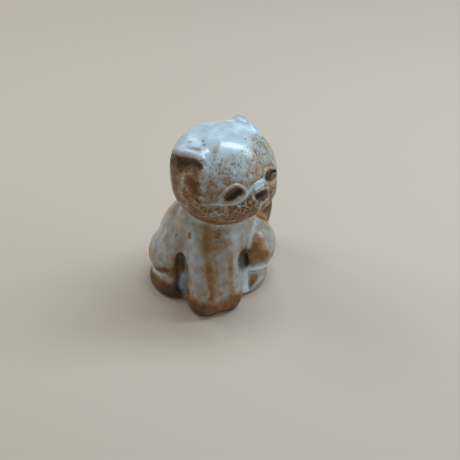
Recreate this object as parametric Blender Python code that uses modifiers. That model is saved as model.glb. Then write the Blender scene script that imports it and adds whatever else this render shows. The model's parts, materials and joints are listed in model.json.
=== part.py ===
"""A seated kitten figurine of glazed stoneware, made as one solid. Metres, +Z up, the body faces -Y.

The clay is put on as overlapping balls, as a modeller would, and fused. The hollows under the ears and
beside the front legs are pressed in and the skin is rubbed smooth. Then the eyes and the mouth are drawn,
and the foot is cut flat.
"""

import math

import bmesh
import bpy
from mathutils import Matrix, Vector

MM = 0.001

# Head: a ball, slightly flattened, turned towards the kitten's left.
HEAD_WIDTH = 29.6 * MM
HEAD_DEPTH = 28.6 * MM
HEAD_TALL = 27.8 * MM
HEAD_HEIGHT = 40.4 * MM
HEAD_SHIFT = 3.9 * MM
HEAD_SETBACK = -1.0 * MM
HEAD_TURN = math.radians(36)

# Face. A place on the head is a turn from the nose and a rise above the ball's equator.
MUZZLE_RISE = math.radians(-7)
MUZZLE_WIDTH = 18.0 * MM
MUZZLE_DEPTH = 10.0 * MM
MUZZLE_TALL = 13.0 * MM
MUZZLE_PROUD = 1.1 * MM
NOSE_TURN = math.radians(2)
NOSE_RISE = math.radians(6)
NOSE_WIDTH = 4.0 * MM
NOSE_DEPTH = 3.0 * MM
NOSE_TALL = 3.2 * MM
NOSE_PROUD = 1.9 * MM
EYES = ((math.radians(-31), -1), (math.radians(25), 1))
EYE_RISE = math.radians(17)
EYE_LENGTH = 5.6 * MM
EYE_TALL = 3.4 * MM
EYE_DEEP = 0.9 * MM
EYE_DROOP = math.radians(12)
LID_MARGIN = 2.2 * MM
LID_PROUD = 0.45 * MM
LID_DEPTH = 3.0 * MM

# Mouth: a ring that is sunk into the underside of the muzzle, so that only an arc of it draws a line.
MOUTH_RISE = math.radians(3.5)
MOUTH_RADIUS = 7.0 * MM
MOUTH_TILT = math.radians(18)
MOUTH_PROUD = 0.8 * MM
MOUTH_GROOVE = 0.9 * MM

# Ears: low rounded points, laid back, hollowed below.
EAR_TURN = math.radians(101)
EAR_RISE = math.radians(48)
EAR_FRONT_TURN = math.radians(77)
EAR_FRONT_RISE = math.radians(52)
EAR_LENGTH = 10.0 * MM
EAR_THICK = 6.6 * MM
EAR_TALL = 3.3 * MM
EAR_POINT = 0.4
EAR_LEAN = 0.5
EAR_HOLLOW_TURN = math.radians(91)
EAR_HOLLOW_RISE = math.radians(37)
EAR_HOLLOW_LENGTH = 8.6 * MM
EAR_HOLLOW_TALL = 4.6 * MM
EAR_HOLLOW_DEEP = 1.2 * MM
EAR_HOLLOW_ROLL = math.radians(18)

# Trunk: a round back and a narrower chest that carries the head.
BACK_WIDTH = 30.4 * MM
BACK_DEPTH = 27.0 * MM
BACK_TALL = 36.5 * MM
BACK_HEIGHT = 11.0 * MM
BACK_SETBACK = 3.0 * MM
CHEST_WIDTH = 21.0 * MM
CHEST_DEPTH = 14.0 * MM
CHEST_TALL = 34.0 * MM
CHEST_HEIGHT = 17.0 * MM
CHEST_SETBACK = -1.0 * MM

# Front legs, side by side and fused.
LEG_SPACING = 5.2 * MM
LEG_BALLS = 20
LEG_TOP_SPACING = 3.6 * MM
LEG_TOP_WIDTH = 9.0 * MM
LEG_TOP_HEIGHT = 27.0 * MM
LEG_TOP_SETBACK = -2.0 * MM
PAW_WIDTH = 11.2 * MM
PAW_HEIGHT = 3.2 * MM
PAW_SETBACK = -10.8 * MM
RIGHT_PAW_LEAD = 0.6 * MM

# Hind legs: a round thigh over a foot that points forward and outward.
THIGH_SPREAD = 10.6 * MM
THIGH_SETBACK = 1.8 * MM
THIGH_HEIGHT = 10.0 * MM
LEFT_THIGH_LIFT = 1.4 * MM
LEFT_THIGH_SPREAD = 0.8 * MM
LEFT_THIGH_GROWTH = 1.12
THIGH_WIDTH = 14.5 * MM
THIGH_DEPTH = 17.6 * MM
THIGH_TALL = 14.0 * MM
FLANK_SPREAD = 8.5 * MM
FLANK_SETBACK = -0.5 * MM
FLANK_HEIGHT = 13.5 * MM
FLANK_WIDTH = 12.0 * MM
FLANK_DEPTH = 14.0 * MM
FLANK_TALL = 18.0 * MM
FOOT_SPREAD = 10.6 * MM
FOOT_SETBACK = -0.9 * MM
LEFT_FOOT_LEAD = 0.2 * MM
LEFT_FOOT_TUCK = 1.1 * MM
FOOT_HEIGHT = 2.0 * MM
FOOT_WIDTH = 14.0 * MM
FOOT_LENGTH = 17.0 * MM
FOOT_TALL = 11.2 * MM
FOOT_TOE_IN = math.radians(32)

# Hollow between each front leg and the thigh beside it. The left one ends above the foot.
HOLLOW_GAP = 0.8 * MM
HOLLOW_SETBACK = -7.0 * MM
HOLLOW_WIDTH = 3.8 * MM
HOLLOW_DEPTH = 8.6 * MM
RIGHT_HOLLOW_BOTTOM = 1.8 * MM
RIGHT_HOLLOW_TOP = 17.6 * MM
LEFT_HOLLOW_BOTTOM = 8.6 * MM
LEFT_HOLLOW_TOP = 16.4 * MM

# Tail: leaves the rump, swings to the left and stands up behind the left thigh.
TAIL_ROOT_WIDTH = 8.5 * MM
TAIL_TIP_WIDTH = 7.4 * MM
TAIL_ROOT_HEIGHT = 4.5 * MM
TAIL_TIP_HEIGHT = 18.0 * MM
TAIL_SETBACK = 11.5 * MM
TAIL_SWING = 16.2 * MM
TAIL_BULGE = 2.7 * MM
TAIL_LATE_RISE = 4
TAIL_BALLS = 40

# Clay surface.
CLAY_VOXEL = 0.5 * MM
SKIN_VOXEL = 0.45 * MM
SKIN_RUB = 0.5
SKIN_PASS_COUNT = 14
TRIANGLE_SHARE = 0.105
FLOOR_WIDTH = 120.0 * MM
FLOOR_DEPTH = 20.0 * MM
BALL_SEGMENTS = 36
BALL_RINGS = 22
GROOVE_SIDES = 10
GROOVE_STEPS = 60
GLAZE_COLOUR = (0.52, 0.50, 0.46, 1)
GLAZE_ROUGHNESS = 0.18


def clear_scene():
    for old in list(bpy.data.objects):
        bpy.data.objects.remove(old)


def add_ball(clay, size, place, shape=None):
    """Adds a closed ball of (width, depth, height) at that matrix. shape may reshape the unit ball first."""
    ball = bmesh.new()
    bmesh.ops.create_uvsphere(ball, u_segments=BALL_SEGMENTS, v_segments=BALL_RINGS, radius=1)
    if shape:
        for vert in ball.verts:
            vert.co = shape(vert.co)
    half = Matrix.Diagonal((size[0] / 2, size[1] / 2, size[2] / 2, 1))
    ball.transform(place @ half)
    lump = bpy.data.meshes.new("lump")
    ball.to_mesh(lump)
    ball.free()
    clay.from_mesh(lump)
    bpy.data.meshes.remove(lump)


def add_limb(clay, points, start_width, end_width):
    """Adds a tapered limb as a row of overlapping balls along the points."""
    for step, point in enumerate(points):
        width = start_width + (end_width - start_width) * step / (len(points) - 1)
        add_ball(clay, (width, width, width), Matrix.Translation(point))


def between(start, end, count):
    return [Vector(start).lerp(Vector(end), step / (count - 1)) for step in range(count)]


def mesh_object(name, clay, collection):
    mesh = bpy.data.meshes.new(name)
    clay.to_mesh(mesh)
    clay.free()
    made = bpy.data.objects.new(name, mesh)
    collection.objects.link(made)
    return made


def head_centre():
    middle = Matrix.Translation((HEAD_SHIFT, HEAD_SETBACK, HEAD_HEIGHT))
    return middle @ Matrix.Rotation(HEAD_TURN, 4, "Z")


def head_place(turn, rise, proud=0.0):
    """A matrix on the head's skin: -Y points out of the head, +Z up the face, +X to the kitten's left."""
    aim = Matrix.Rotation(turn, 4, "Z") @ Matrix.Rotation(-rise, 4, "X")
    out = aim @ Vector((0, -1, 0))
    skin = Vector((out.x * HEAD_WIDTH, out.y * HEAD_DEPTH, out.z * HEAD_TALL)) / 2
    return head_centre() @ Matrix.Translation(skin + out * proud) @ aim


def eye_place(turn, side, proud=0.0):
    return head_place(turn, EYE_RISE, proud) @ Matrix.Rotation(side * EYE_DROOP, 4, "Y")


def add_head(clay):
    add_ball(clay, (HEAD_WIDTH, HEAD_DEPTH, HEAD_TALL), head_centre())
    muzzle = head_place(0, MUZZLE_RISE, MUZZLE_PROUD - MUZZLE_DEPTH / 2)
    add_ball(clay, (MUZZLE_WIDTH, MUZZLE_DEPTH, MUZZLE_TALL), muzzle)
    nose = head_place(NOSE_TURN, NOSE_RISE, NOSE_PROUD - NOSE_DEPTH / 2)
    add_ball(clay, (NOSE_WIDTH, NOSE_DEPTH, NOSE_TALL), nose)
    for turn, side in EYES:
        lids = eye_place(turn, side, LID_PROUD - LID_DEPTH / 2)
        add_ball(clay, (EYE_LENGTH + LID_MARGIN, LID_DEPTH, EYE_TALL + LID_MARGIN), lids)


def ear_shape(point):
    """Narrows the ball towards its top, which is the ear's point, and leans the point back."""
    top = max(point.z, 0)
    return Vector((point.x * (1 - EAR_POINT * top) + EAR_LEAN * top, point.y, point.z))


def add_ears(clay):
    for side in (-1, 1):
        middle = head_place(side * EAR_TURN, EAR_RISE)
        front = head_place(side * EAR_FRONT_TURN, EAR_FRONT_RISE)
        out = (middle.to_3x3() @ Vector((0, -1, 0))).normalized()
        along = middle.translation - front.translation
        along = (along - out * along.dot(out)).normalized()
        across = out.cross(along)
        lie = Matrix((along, across, out)).transposed().to_4x4()
        place = Matrix.Translation(middle.translation) @ lie
        add_ball(clay, (EAR_LENGTH, EAR_THICK, EAR_TALL), place, ear_shape)


def add_trunk(clay):
    back = Matrix.Translation((0, BACK_SETBACK, BACK_HEIGHT))
    add_ball(clay, (BACK_WIDTH, BACK_DEPTH, BACK_TALL), back)
    chest = Matrix.Translation((0, CHEST_SETBACK, CHEST_HEIGHT))
    add_ball(clay, (CHEST_WIDTH, CHEST_DEPTH, CHEST_TALL), chest)


def add_legs(clay):
    for side in (-1, 1):
        top = (side * LEG_TOP_SPACING / 2, LEG_TOP_SETBACK, LEG_TOP_HEIGHT)
        paw = (side * LEG_SPACING / 2, PAW_SETBACK + side * RIGHT_PAW_LEAD, PAW_HEIGHT)
        add_limb(clay, between(top, paw, LEG_BALLS), LEG_TOP_WIDTH, PAW_WIDTH)
        left = side > 0
        spread = side * THIGH_SPREAD + left * LEFT_THIGH_SPREAD
        thigh = Matrix.Translation((spread, THIGH_SETBACK, THIGH_HEIGHT + left * LEFT_THIGH_LIFT))
        if left:
            thigh = thigh @ Matrix.Scale(LEFT_THIGH_GROWTH, 4)
        add_ball(clay, (THIGH_WIDTH, THIGH_DEPTH, THIGH_TALL), thigh)
        if not left:
            flank = Matrix.Translation((-FLANK_SPREAD, FLANK_SETBACK, FLANK_HEIGHT))
            add_ball(clay, (FLANK_WIDTH, FLANK_DEPTH, FLANK_TALL), flank)
        stance = side * FOOT_SPREAD - left * LEFT_FOOT_TUCK
        foot = Matrix.Translation((stance, FOOT_SETBACK - side * LEFT_FOOT_LEAD, FOOT_HEIGHT))
        toe_in = Matrix.Rotation(-side * FOOT_TOE_IN, 4, "Z")
        add_ball(clay, (FOOT_WIDTH, FOOT_LENGTH, FOOT_TALL), foot @ toe_in)


def tail_points():
    """Sideways from the rump to the left, then up, ever more steeply."""
    points = []
    for step in range(TAIL_BALLS):
        share = step / (TAIL_BALLS - 1)
        across = TAIL_SWING * math.sin(share * math.pi / 2)
        back = TAIL_SETBACK + TAIL_BULGE * math.sin(share * math.pi)
        rise = TAIL_ROOT_HEIGHT + (TAIL_TIP_HEIGHT - TAIL_ROOT_HEIGHT) * share**TAIL_LATE_RISE
        points.append(Vector((across, back, rise)))
    return points


def almond_shape(point):
    """Draws the ball's two ends out to points."""
    return Vector((point.x, point.y, point.z * math.sqrt(max(0, 1 - point.x**2))))


def add_ring(cutter, radius, thickness, place):
    """Adds a closed ring that lies in the matrix's XZ plane."""
    edge = place @ Matrix.Translation((radius, 0, 0))
    section = bmesh.ops.create_circle(cutter, segments=GROOVE_SIDES, radius=thickness / 2, matrix=edge)
    edges = {edge for vert in section["verts"] for edge in vert.link_edges}
    bmesh.ops.spin(
        cutter,
        geom=section["verts"] + list(edges),
        cent=place.translation,
        axis=place.to_3x3() @ Vector((0, 1, 0)),
        dvec=(0, 0, 0),
        angle=math.tau,
        steps=GROOVE_STEPS,
        use_merge=True,
    )
    bmesh.ops.recalc_face_normals(cutter, faces=cutter.faces)


def add_face_cuts(cutter):
    for turn, side in EYES:
        socket = eye_place(turn, side, LID_PROUD)
        add_ball(cutter, (EYE_LENGTH, 2 * EYE_DEEP, EYE_TALL), socket, almond_shape)
    mouth = head_place(NOSE_TURN, MOUTH_RISE, MOUTH_PROUD) @ Matrix.Rotation(MOUTH_TILT, 4, "X")
    add_ring(cutter, MOUTH_RADIUS, MOUTH_GROOVE, mouth)


def add_hollows(cutter):
    spread = (LEG_SPACING + PAW_WIDTH) / 2 + HOLLOW_GAP
    for side in (-1, 1):
        bottom = LEFT_HOLLOW_BOTTOM if side > 0 else RIGHT_HOLLOW_BOTTOM
        top = LEFT_HOLLOW_TOP if side > 0 else RIGHT_HOLLOW_TOP
        beside = Matrix.Translation((side * spread, HOLLOW_SETBACK, (bottom + top) / 2))
        add_ball(cutter, (HOLLOW_WIDTH, HOLLOW_DEPTH, top - bottom), beside)
        proud = EAR_HOLLOW_TALL / 2 - EAR_HOLLOW_DEEP
        under = head_place(side * EAR_HOLLOW_TURN, EAR_HOLLOW_RISE, proud)
        roll = Matrix.Rotation(side * EAR_HOLLOW_ROLL, 4, "Y")
        add_ball(cutter, (EAR_HOLLOW_LENGTH, EAR_HOLLOW_TALL, EAR_HOLLOW_TALL), under @ roll)


def glazed_stoneware():
    finish = bpy.data.materials.new("glazed_stoneware")
    finish.use_nodes = True
    shader = finish.node_tree.nodes["Principled BSDF"]
    shader.inputs["Base Color"].default_value = GLAZE_COLOUR
    shader.inputs["Roughness"].default_value = GLAZE_ROUGHNESS
    shader.inputs["Metallic"].default_value = 0.0
    return finish


def cut_with(body, name, cutter):
    cut = body.modifiers.new(name, "BOOLEAN")
    cut.operation = "DIFFERENCE"
    cut.solver = "EXACT"
    cut.object = cutter
    cutter.hide_render = True
    cutter.display_type = "WIRE"


def fuse(body, name, voxel):
    lump = body.modifiers.new(name, "REMESH")
    lump.mode = "VOXEL"
    lump.voxel_size = voxel


def centre_on_foot(body, cutters):
    """Moves the body and its cutters so that the body's box stands centred on the origin."""
    bpy.context.view_layer.update()
    shaped = body.evaluated_get(bpy.context.evaluated_depsgraph_get())
    corners = [Vector(corner) for corner in shaped.bound_box]
    low = Vector([min(corner[axis] for corner in corners) for axis in range(3)])
    high = Vector([max(corner[axis] for corner in corners) for axis in range(3)])
    shift = Vector((-(low.x + high.x) / 2, -(low.y + high.y) / 2, 0))
    for moved in [body] + list(cutters.objects):
        moved.location = shift


def build():
    clear_scene()
    parts = bpy.data.collections.new("cat_figurine")
    cutters = bpy.data.collections.new("cutters")
    bpy.context.scene.collection.children.link(parts)
    bpy.context.scene.collection.children.link(cutters)

    clay = bmesh.new()
    add_head(clay)
    add_ears(clay)
    add_trunk(clay)
    add_legs(clay)
    add_limb(clay, tail_points(), TAIL_ROOT_WIDTH, TAIL_TIP_WIDTH)
    kitten = mesh_object("kitten", clay, parts)
    kitten.data.materials.append(glazed_stoneware())

    pressed = bmesh.new()
    add_hollows(pressed)
    drawn = bmesh.new()
    add_face_cuts(drawn)
    floor = bmesh.new()
    below = Matrix.Translation((0, 0, -FLOOR_DEPTH / 2))
    slab = Matrix.Diagonal((FLOOR_WIDTH, FLOOR_WIDTH, FLOOR_DEPTH, 1))
    bmesh.ops.create_cube(floor, size=1, matrix=below @ slab)

    fuse(kitten, "clay", CLAY_VOXEL)
    cut_with(kitten, "pressed_in", mesh_object("pressed_in", pressed, cutters))
    fuse(kitten, "skin", SKIN_VOXEL)
    rub = kitten.modifiers.new("rub", "SMOOTH")
    rub.factor = SKIN_RUB
    rub.iterations = SKIN_PASS_COUNT
    thin = kitten.modifiers.new("thin", "DECIMATE")
    thin.ratio = TRIANGLE_SHARE
    cut_with(kitten, "face_lines", mesh_object("face_lines", drawn, cutters))
    cut_with(kitten, "flat_foot", mesh_object("floor", floor, cutters))
    centre_on_foot(kitten, cutters)


build()
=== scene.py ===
# %% [markdown]
# # A seated kitten in breaking glaze
# The real thing is one small lump of stoneware. A breaking glaze covers it, which is milky white
# where it lies thick and turns rust brown where it thins out over an edge. So there is one piece to
# make here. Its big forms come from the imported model, and this lesson adds what a potter adds last:
# drawn lines, lids and the glaze.

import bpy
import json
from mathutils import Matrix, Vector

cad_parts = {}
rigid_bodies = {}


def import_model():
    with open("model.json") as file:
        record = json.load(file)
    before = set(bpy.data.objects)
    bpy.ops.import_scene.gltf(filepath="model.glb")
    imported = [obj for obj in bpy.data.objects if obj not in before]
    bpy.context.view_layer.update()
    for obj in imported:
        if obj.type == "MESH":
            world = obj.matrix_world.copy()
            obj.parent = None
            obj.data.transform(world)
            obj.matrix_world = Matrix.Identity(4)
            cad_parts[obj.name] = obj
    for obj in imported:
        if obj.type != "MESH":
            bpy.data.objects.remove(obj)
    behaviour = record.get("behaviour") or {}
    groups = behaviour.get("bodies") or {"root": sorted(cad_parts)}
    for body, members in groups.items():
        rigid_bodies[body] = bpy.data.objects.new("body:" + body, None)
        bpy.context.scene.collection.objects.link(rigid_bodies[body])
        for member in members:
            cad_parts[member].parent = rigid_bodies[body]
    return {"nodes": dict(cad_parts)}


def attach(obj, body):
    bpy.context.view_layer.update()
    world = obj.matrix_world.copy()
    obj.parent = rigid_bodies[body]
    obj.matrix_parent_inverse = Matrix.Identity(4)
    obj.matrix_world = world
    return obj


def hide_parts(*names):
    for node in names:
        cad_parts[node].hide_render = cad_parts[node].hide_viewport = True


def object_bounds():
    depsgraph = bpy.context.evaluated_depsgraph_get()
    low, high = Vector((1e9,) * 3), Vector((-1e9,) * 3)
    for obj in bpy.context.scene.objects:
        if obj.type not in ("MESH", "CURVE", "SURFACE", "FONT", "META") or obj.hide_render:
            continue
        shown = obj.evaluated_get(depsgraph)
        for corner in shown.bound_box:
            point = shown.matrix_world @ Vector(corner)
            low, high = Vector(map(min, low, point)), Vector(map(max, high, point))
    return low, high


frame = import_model()
cad_low, cad_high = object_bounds()
print("packed model, metres:", tuple(cad_low), tuple(cad_high))

# %% Tools and the unit
import json
import math

import bmesh
import bpy
from mathutils import Matrix, Vector
from mathutils.bvhtree import BVHTree

MM = 0.001

# %% [markdown]
# ## Finding a place on the clay
# A potter points at a spot, and never gives its coordinates. On the head a place is a turn from the
# nose and a rise above the middle of the ball, both in degrees. On the body it is a turn from the
# front and a height above the table. A ray from outside finds the clay there, so a line that is
# drawn later always sits on the surface.

# %% Places on the head and on the body
HEAD_CENTRE = Vector((3.0, -1.6, 40.4)) * MM
HEAD_TURN = 36.0
OUTSIDE = 60.0 * MM

clay_node = frame["nodes"]["kitten"]
clay_tree = BVHTree.FromPolygons(
    [vert.co.copy() for vert in clay_node.data.vertices],
    [tuple(face.vertices) for face in clay_node.data.polygons],
)


def heading(turn, rise):
    """The direction that is that far round from the front and that far up, in degrees."""
    across, up = math.radians(turn), math.radians(rise)
    return Vector((math.sin(across) * math.cos(up), -math.cos(across) * math.cos(up), math.sin(up)))


def first_clay(start, way):
    """Where a ray from that start meets the clay."""
    found = clay_tree.ray_cast(start, way)[0]
    assert found is not None, "the ray missed the clay"
    return found


def on_head(turn, rise):
    """A place on the head, from its turn and rise in degrees."""
    way = heading(turn + HEAD_TURN, rise)
    return first_clay(HEAD_CENTRE + way * OUTSIDE, -way)


def on_body(turn, height):
    """A place on the body, from its turn in degrees and its height in millimetres."""
    way = heading(turn, 0)
    return first_clay(Vector((0, 0, height * MM)) + way * OUTSIDE, -way)


print("nose tip, mm:", [round(value / MM, 1) for value in on_head(2, 6)])

# %% [markdown]
# ## Places in the hollows
# A ray towards the middle of the body misses the hollows beside the front legs. A ray from straight
# in front finds their floors. Their side walls lie along that ray too, so a place there is given
# outright.

# %% Places in the hollows
def from_front(across, height):
    """What lies straight behind a place in front of the kitten, in millimetres."""
    return first_clay(Vector((across * MM, -OUTSIDE, height * MM)), Vector((0, 1, 0)))


def at(across, back, height):
    """A place given outright, in millimetres."""
    return Vector((across, back, height)) * MM


print("floor of the right hollow, mm:", [round(value / MM, 1) for value in from_front(-10, 10)])

# %% [markdown]
# ## A finer skin
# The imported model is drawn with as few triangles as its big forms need. Drawn lines need a finer
# skin. It could be made by subdividing, but that keeps the long thin triangles that a cut leaves. A
# voxel remesh lays an even grid over the whole lump instead, and a light rub takes off its steps.

# %% Copy the lump and lay the even grid
SKIN_GRID = 0.34 * MM
MERGE = 0.001 * MM


def settle(piece):
    """Turns what the modifiers make into a plain mesh and takes the modifiers away."""
    bpy.context.view_layer.update()
    shaped = piece.evaluated_get(bpy.context.evaluated_depsgraph_get())
    mesh = bpy.data.meshes.new_from_object(shaped)
    piece.modifiers.clear()
    piece.data = mesh


def copy_of_clay(name):
    """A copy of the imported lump, with the corners that its loose triangles share joined."""
    loose = bmesh.new()
    loose.from_mesh(clay_node.data)
    bmesh.ops.remove_doubles(loose, verts=loose.verts, dist=MERGE)
    mesh = bpy.data.meshes.new(name)
    loose.to_mesh(mesh)
    loose.free()
    mesh.materials.clear()
    piece = bpy.data.objects.new(name, mesh)
    bpy.context.scene.collection.objects.link(piece)
    return piece


kitten = copy_of_clay("glazed_kitten")
grid = kitten.modifiers.new("even_grid", "REMESH")
grid.mode = "VOXEL"
grid.voxel_size = SKIN_GRID
settle(kitten)
print("faces of the even grid:", len(kitten.data.polygons))

# %% [markdown]
# ## A finer face
# The eyes are a few millimetres long and their lids a few tenths thick. A finer grid all over would
# double the mesh for their sake, so only the faces within a cone about the nose are divided again.

# %% Divide the face and rub the skin smooth
FACE_MIDDLE = (-4.0, 4.0)
FACE_SPREAD = 50.0
HEAD_REACH = 18 * MM
RUB_SHARE, RUB_ROUNDS = 0.5, 26


def divide_face(piece):
    """Divides the quads of the face once more."""
    turn, rise = FACE_MIDDLE
    middle = heading(turn + HEAD_TURN, rise)
    widest = math.cos(math.radians(FACE_SPREAD))
    skin = bmesh.new()
    skin.from_mesh(piece.data)
    faces = []
    for face in skin.faces:
        way = face.calc_center_median() - HEAD_CENTRE
        if way.length < HEAD_REACH and way.normalized().dot(middle) > widest:
            faces.append(face)
    edges = list({edge for face in faces for edge in face.edges})
    bmesh.ops.subdivide_edges(skin, edges=edges, cuts=1, use_grid_fill=True)
    skin.to_mesh(piece.data)
    skin.free()


divide_face(kitten)
rub = kitten.modifiers.new("rub", "SMOOTH")
rub.factor = RUB_SHARE
rub.iterations = RUB_ROUNDS
settle(kitten)
print("skin faces:", len(kitten.data.polygons))

# %% [markdown]
# ## Paths that follow the clay
# A drawn line, a lid or a run of glaze follows a path on the surface. Here a path is a few places,
# joined by a smooth curve through them. Every point of that curve is then looked up on the clay.
# Modelling each line as a mesh of its own would leave seams, so a path is only a guide that bends
# and colours the skin near it.

# %% A path from a few places
PATH_STEPS = 6


def through(places, closed=False):
    """Points of a smooth curve through the places, which are tuples of numbers."""
    count = len(places)
    spans = count if closed else count - 1
    points = []
    for span in range(spans):
        around = []
        for offset in (-1, 0, 1, 2):
            index = span + offset
            index = index % count if closed else min(max(index, 0), count - 1)
            around.append(Vector(places[index]))
        before, start, end, after = around
        for step in range(PATH_STEPS):
            share = step / PATH_STEPS
            points.append(0.5 * (
                2 * start
                + (end - before) * share
                + (2 * before - 5 * start + 4 * end - after) * share**2
                + (3 * start - before - 3 * end + after) * share**3
            ))
    if not closed:
        points.append(Vector(places[-1]))
    return points


def guide(name, find, runs, closed=False):
    """A guide object with one path for each run of places. find looks a place up on the clay."""
    corners, edges = [], []
    for run in runs:
        line = through(run, closed) if len(run) > 1 else run
        points = [find(*place) for place in line]
        first = len(corners)
        corners.extend(points)
        edges.extend((first + step, first + step + 1) for step in range(len(points) - 1))
        if closed:
            edges.append((len(corners) - 1, first))
        if len(points) == 1:
            corners.append(points[0] + Vector((0, 0, MERGE)))
            edges.append((first, first + 1))
    mesh = bpy.data.meshes.new(name)
    mesh.from_pydata(corners, edges, [])
    made = bpy.data.objects.new(name, mesh)
    made["guide"] = True
    bpy.context.scene.collection.objects.link(made)
    return made


print("points on a path through three places:", len(through([(0, 0), (1, 1), (2, 0)])))

# %% [markdown]
# ## Building with nodes
# Trees of nodes do the rest, both for shape and for colour. Writing each node and link in full makes
# long scripts, so one helper adds a node, sets it and links it in a single line.

# %% Helpers that add nodes
GLAZE = bpy.data.materials.new("breaking_glaze")


def wire(tree, kind, **settings):
    """Adds a node and sets it. An input's name is written with low lines for its spaces, or is i0,
    i1 and so on for an input by its number. A value that is a socket is linked."""
    node = tree.nodes.new(kind)
    for name, value in settings.items():
        if hasattr(node, name):
            setattr(node, name, value)
            continue
        numbered = name[1:].isdigit()
        socket = node.inputs[int(name[1:]) if numbered else name.replace("_", " ")]
        if isinstance(value, bpy.types.NodeSocket):
            tree.links.new(value, socket)
        else:
            socket.default_value = value
    return node


def math_node(tree, operation, *values, clamp=False):
    """The result of a calculation with numbers or sockets."""
    given = {f"i{number}": value for number, value in enumerate(values)}
    return wire(tree, "ShaderNodeMath", operation=operation, use_clamp=clamp, **given).outputs[0]


def new_tree(name, inputs):
    """A geometry tree with these named inputs, and the sockets that they arrive at."""
    tree = bpy.data.node_groups.new(name, "GeometryNodeTree")
    tree.is_modifier = True
    tree.interface.new_socket("Geometry", in_out="INPUT", socket_type="NodeSocketGeometry")
    for label, kind in inputs.items():
        tree.interface.new_socket(label, in_out="INPUT", socket_type="NodeSocket" + kind)
    tree.interface.new_socket("Geometry", in_out="OUTPUT", socket_type="NodeSocketGeometry")
    return tree, tree.nodes.new("NodeGroupInput").outputs


def end_tree(tree, shape):
    """Every tree ends in real geometry that has the glaze on it."""
    real = wire(tree, "GeometryNodeRealizeInstances", Geometry=shape)
    glazed = wire(tree, "GeometryNodeSetMaterial", Geometry=real.outputs[0], Material=GLAZE)
    out = tree.nodes.new("NodeGroupOutput")
    tree.links.new(glazed.outputs[0], out.inputs[0])


def add_tree(name, tree, values):
    """Puts the tree on the kitten. An input is set by its socket's identifier, found by its name."""
    made = kitten.modifiers.new(name, "NODES")
    made.node_group = tree
    sockets = [item for item in tree.interface.items_tree if item.in_out == "INPUT"]
    for socket in sockets:
        if socket.name in values:
            made[socket.identifier] = values[socket.name]


print("material:", GLAZE.name)

# %% [markdown]
# ## One stroke tool
# Whatever follows a path is made by one Geometry Nodes tree. It measures how far each point of the
# skin is from the guide, pushes the near ones in or out, and paints one of the skin's named layers
# towards a value. A ragged edge comes from noise on that distance, because real glaze never ends on
# a clean line. The noise is fixed in space, so it is the same each time.

# %% Build the stroke tree
STROKE_INPUTS = {
    "Guide": "Object", "Reach": "Float", "Core": "Float", "Raise": "Float", "Paint": "Float",
    "Strength": "Float", "Ragged": "Float", "Ragged Size": "Float", "Layer": "String",
}
RAGGED_DETAIL = 3.0


def stroke_tree():
    tree, given = new_tree("glaze_stroke", STROKE_INPUTS)
    path = wire(tree, "GeometryNodeObjectInfo", Object=given["Guide"]).outputs["Geometry"]
    near = wire(tree, "GeometryNodeProximity", target_element="EDGES", i0=path)
    place = wire(tree, "GeometryNodeInputPosition").outputs[0]
    often = math_node(tree, "DIVIDE", 1.0, given["Ragged Size"])
    rough = wire(tree, "ShaderNodeTexNoise", noise_dimensions="3D", Vector=place, Scale=often,
                 Detail=RAGGED_DETAIL).outputs[0]
    swing = math_node(tree, "SUBTRACT", rough, 0.5)
    stray = math_node(tree, "MULTIPLY_ADD", swing, given["Ragged"], near.outputs["Distance"])
    fade = wire(tree, "ShaderNodeMapRange", interpolation_type="SMOOTHSTEP", Value=stray,
                From_Min=given["Core"], From_Max=given["Reach"], To_Min=1.0, To_Max=0.0).outputs[0]

    normal = wire(tree, "GeometryNodeInputNormal").outputs[0]
    lift = math_node(tree, "MULTIPLY", fade, given["Raise"])
    offset = wire(tree, "ShaderNodeVectorMath", operation="SCALE", i0=normal, Scale=lift)
    moved = wire(tree, "GeometryNodeSetPosition", Geometry=given["Geometry"],
                 Offset=offset.outputs[0])

    layer = wire(tree, "GeometryNodeInputNamedAttribute", data_type="FLOAT", Name=given["Layer"])
    share = math_node(tree, "MULTIPLY", fade, given["Strength"])
    mixed = wire(tree, "ShaderNodeMix", data_type="FLOAT", Factor=share)
    tree.links.new(layer.outputs["Attribute"], mixed.inputs["A"])
    tree.links.new(given["Paint"], mixed.inputs["B"])
    kept = wire(tree, "GeometryNodeStoreNamedAttribute", data_type="FLOAT", domain="POINT",
                Geometry=moved.outputs[0], Name=given["Layer"], Value=mixed.outputs["Result"])
    end_tree(tree, kept.outputs[0])
    return tree


STROKE = stroke_tree()


def stroke(guide_object, layer="glaze", reach=1.0, core=0.0, lift=0.0, paint=0.5, strength=1.0,
           ragged=0.0, ragged_size=2.0):
    """Adds one stroke to the kitten. It is full up to the core, and gone at the reach. Sizes are in
    millimetres, and paint is 0 for the thinnest glaze and 1 for the thickest."""
    add_tree(guide_object.name, STROKE, {
        "Guide": guide_object, "Layer": layer, "Reach": reach * MM, "Core": core * MM,
        "Raise": lift * MM, "Paint": paint, "Strength": strength, "Ragged": ragged * MM,
        "Ragged Size": ragged_size * MM,
    })


print("stroke inputs:", sorted(STROKE_INPUTS))

# %% [markdown]
# ## The crown
# The kitten was dipped head first, so the crown is thick and white, and it is painted lighter and
# bluer than the body as painted skylight on the top of the head. It could be one painted picture,
# but a stroke is moved by changing two numbers. The strokes are laid on in the order of a brush.
# Bubbles left a few dark pinholes, which are made first, because the fuller glaze of the crown then
# lifts them with it.

# %% The coat, the pinholes and the crown
FACE_AXIS = -5.5
PINHOLES = [(-115.9, 53.6), (-107.1, 65.5), (-93.6, 63.2), (21.6, 47.7)]


def both(line, axis=FACE_AXIS):
    """The line and its mirror image about the middle of the face."""
    return [line, [(2 * axis - turn, rise) for turn, rise in line]]


def head_run(name, line, **how):
    """A stroke on both sides of the face."""
    stroke(guide(name, on_head, both(line)), **how)


def head_line(name, line, **how):
    """A stroke on one side of the head."""
    stroke(guide(name, on_head, [line]), **how)


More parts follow.
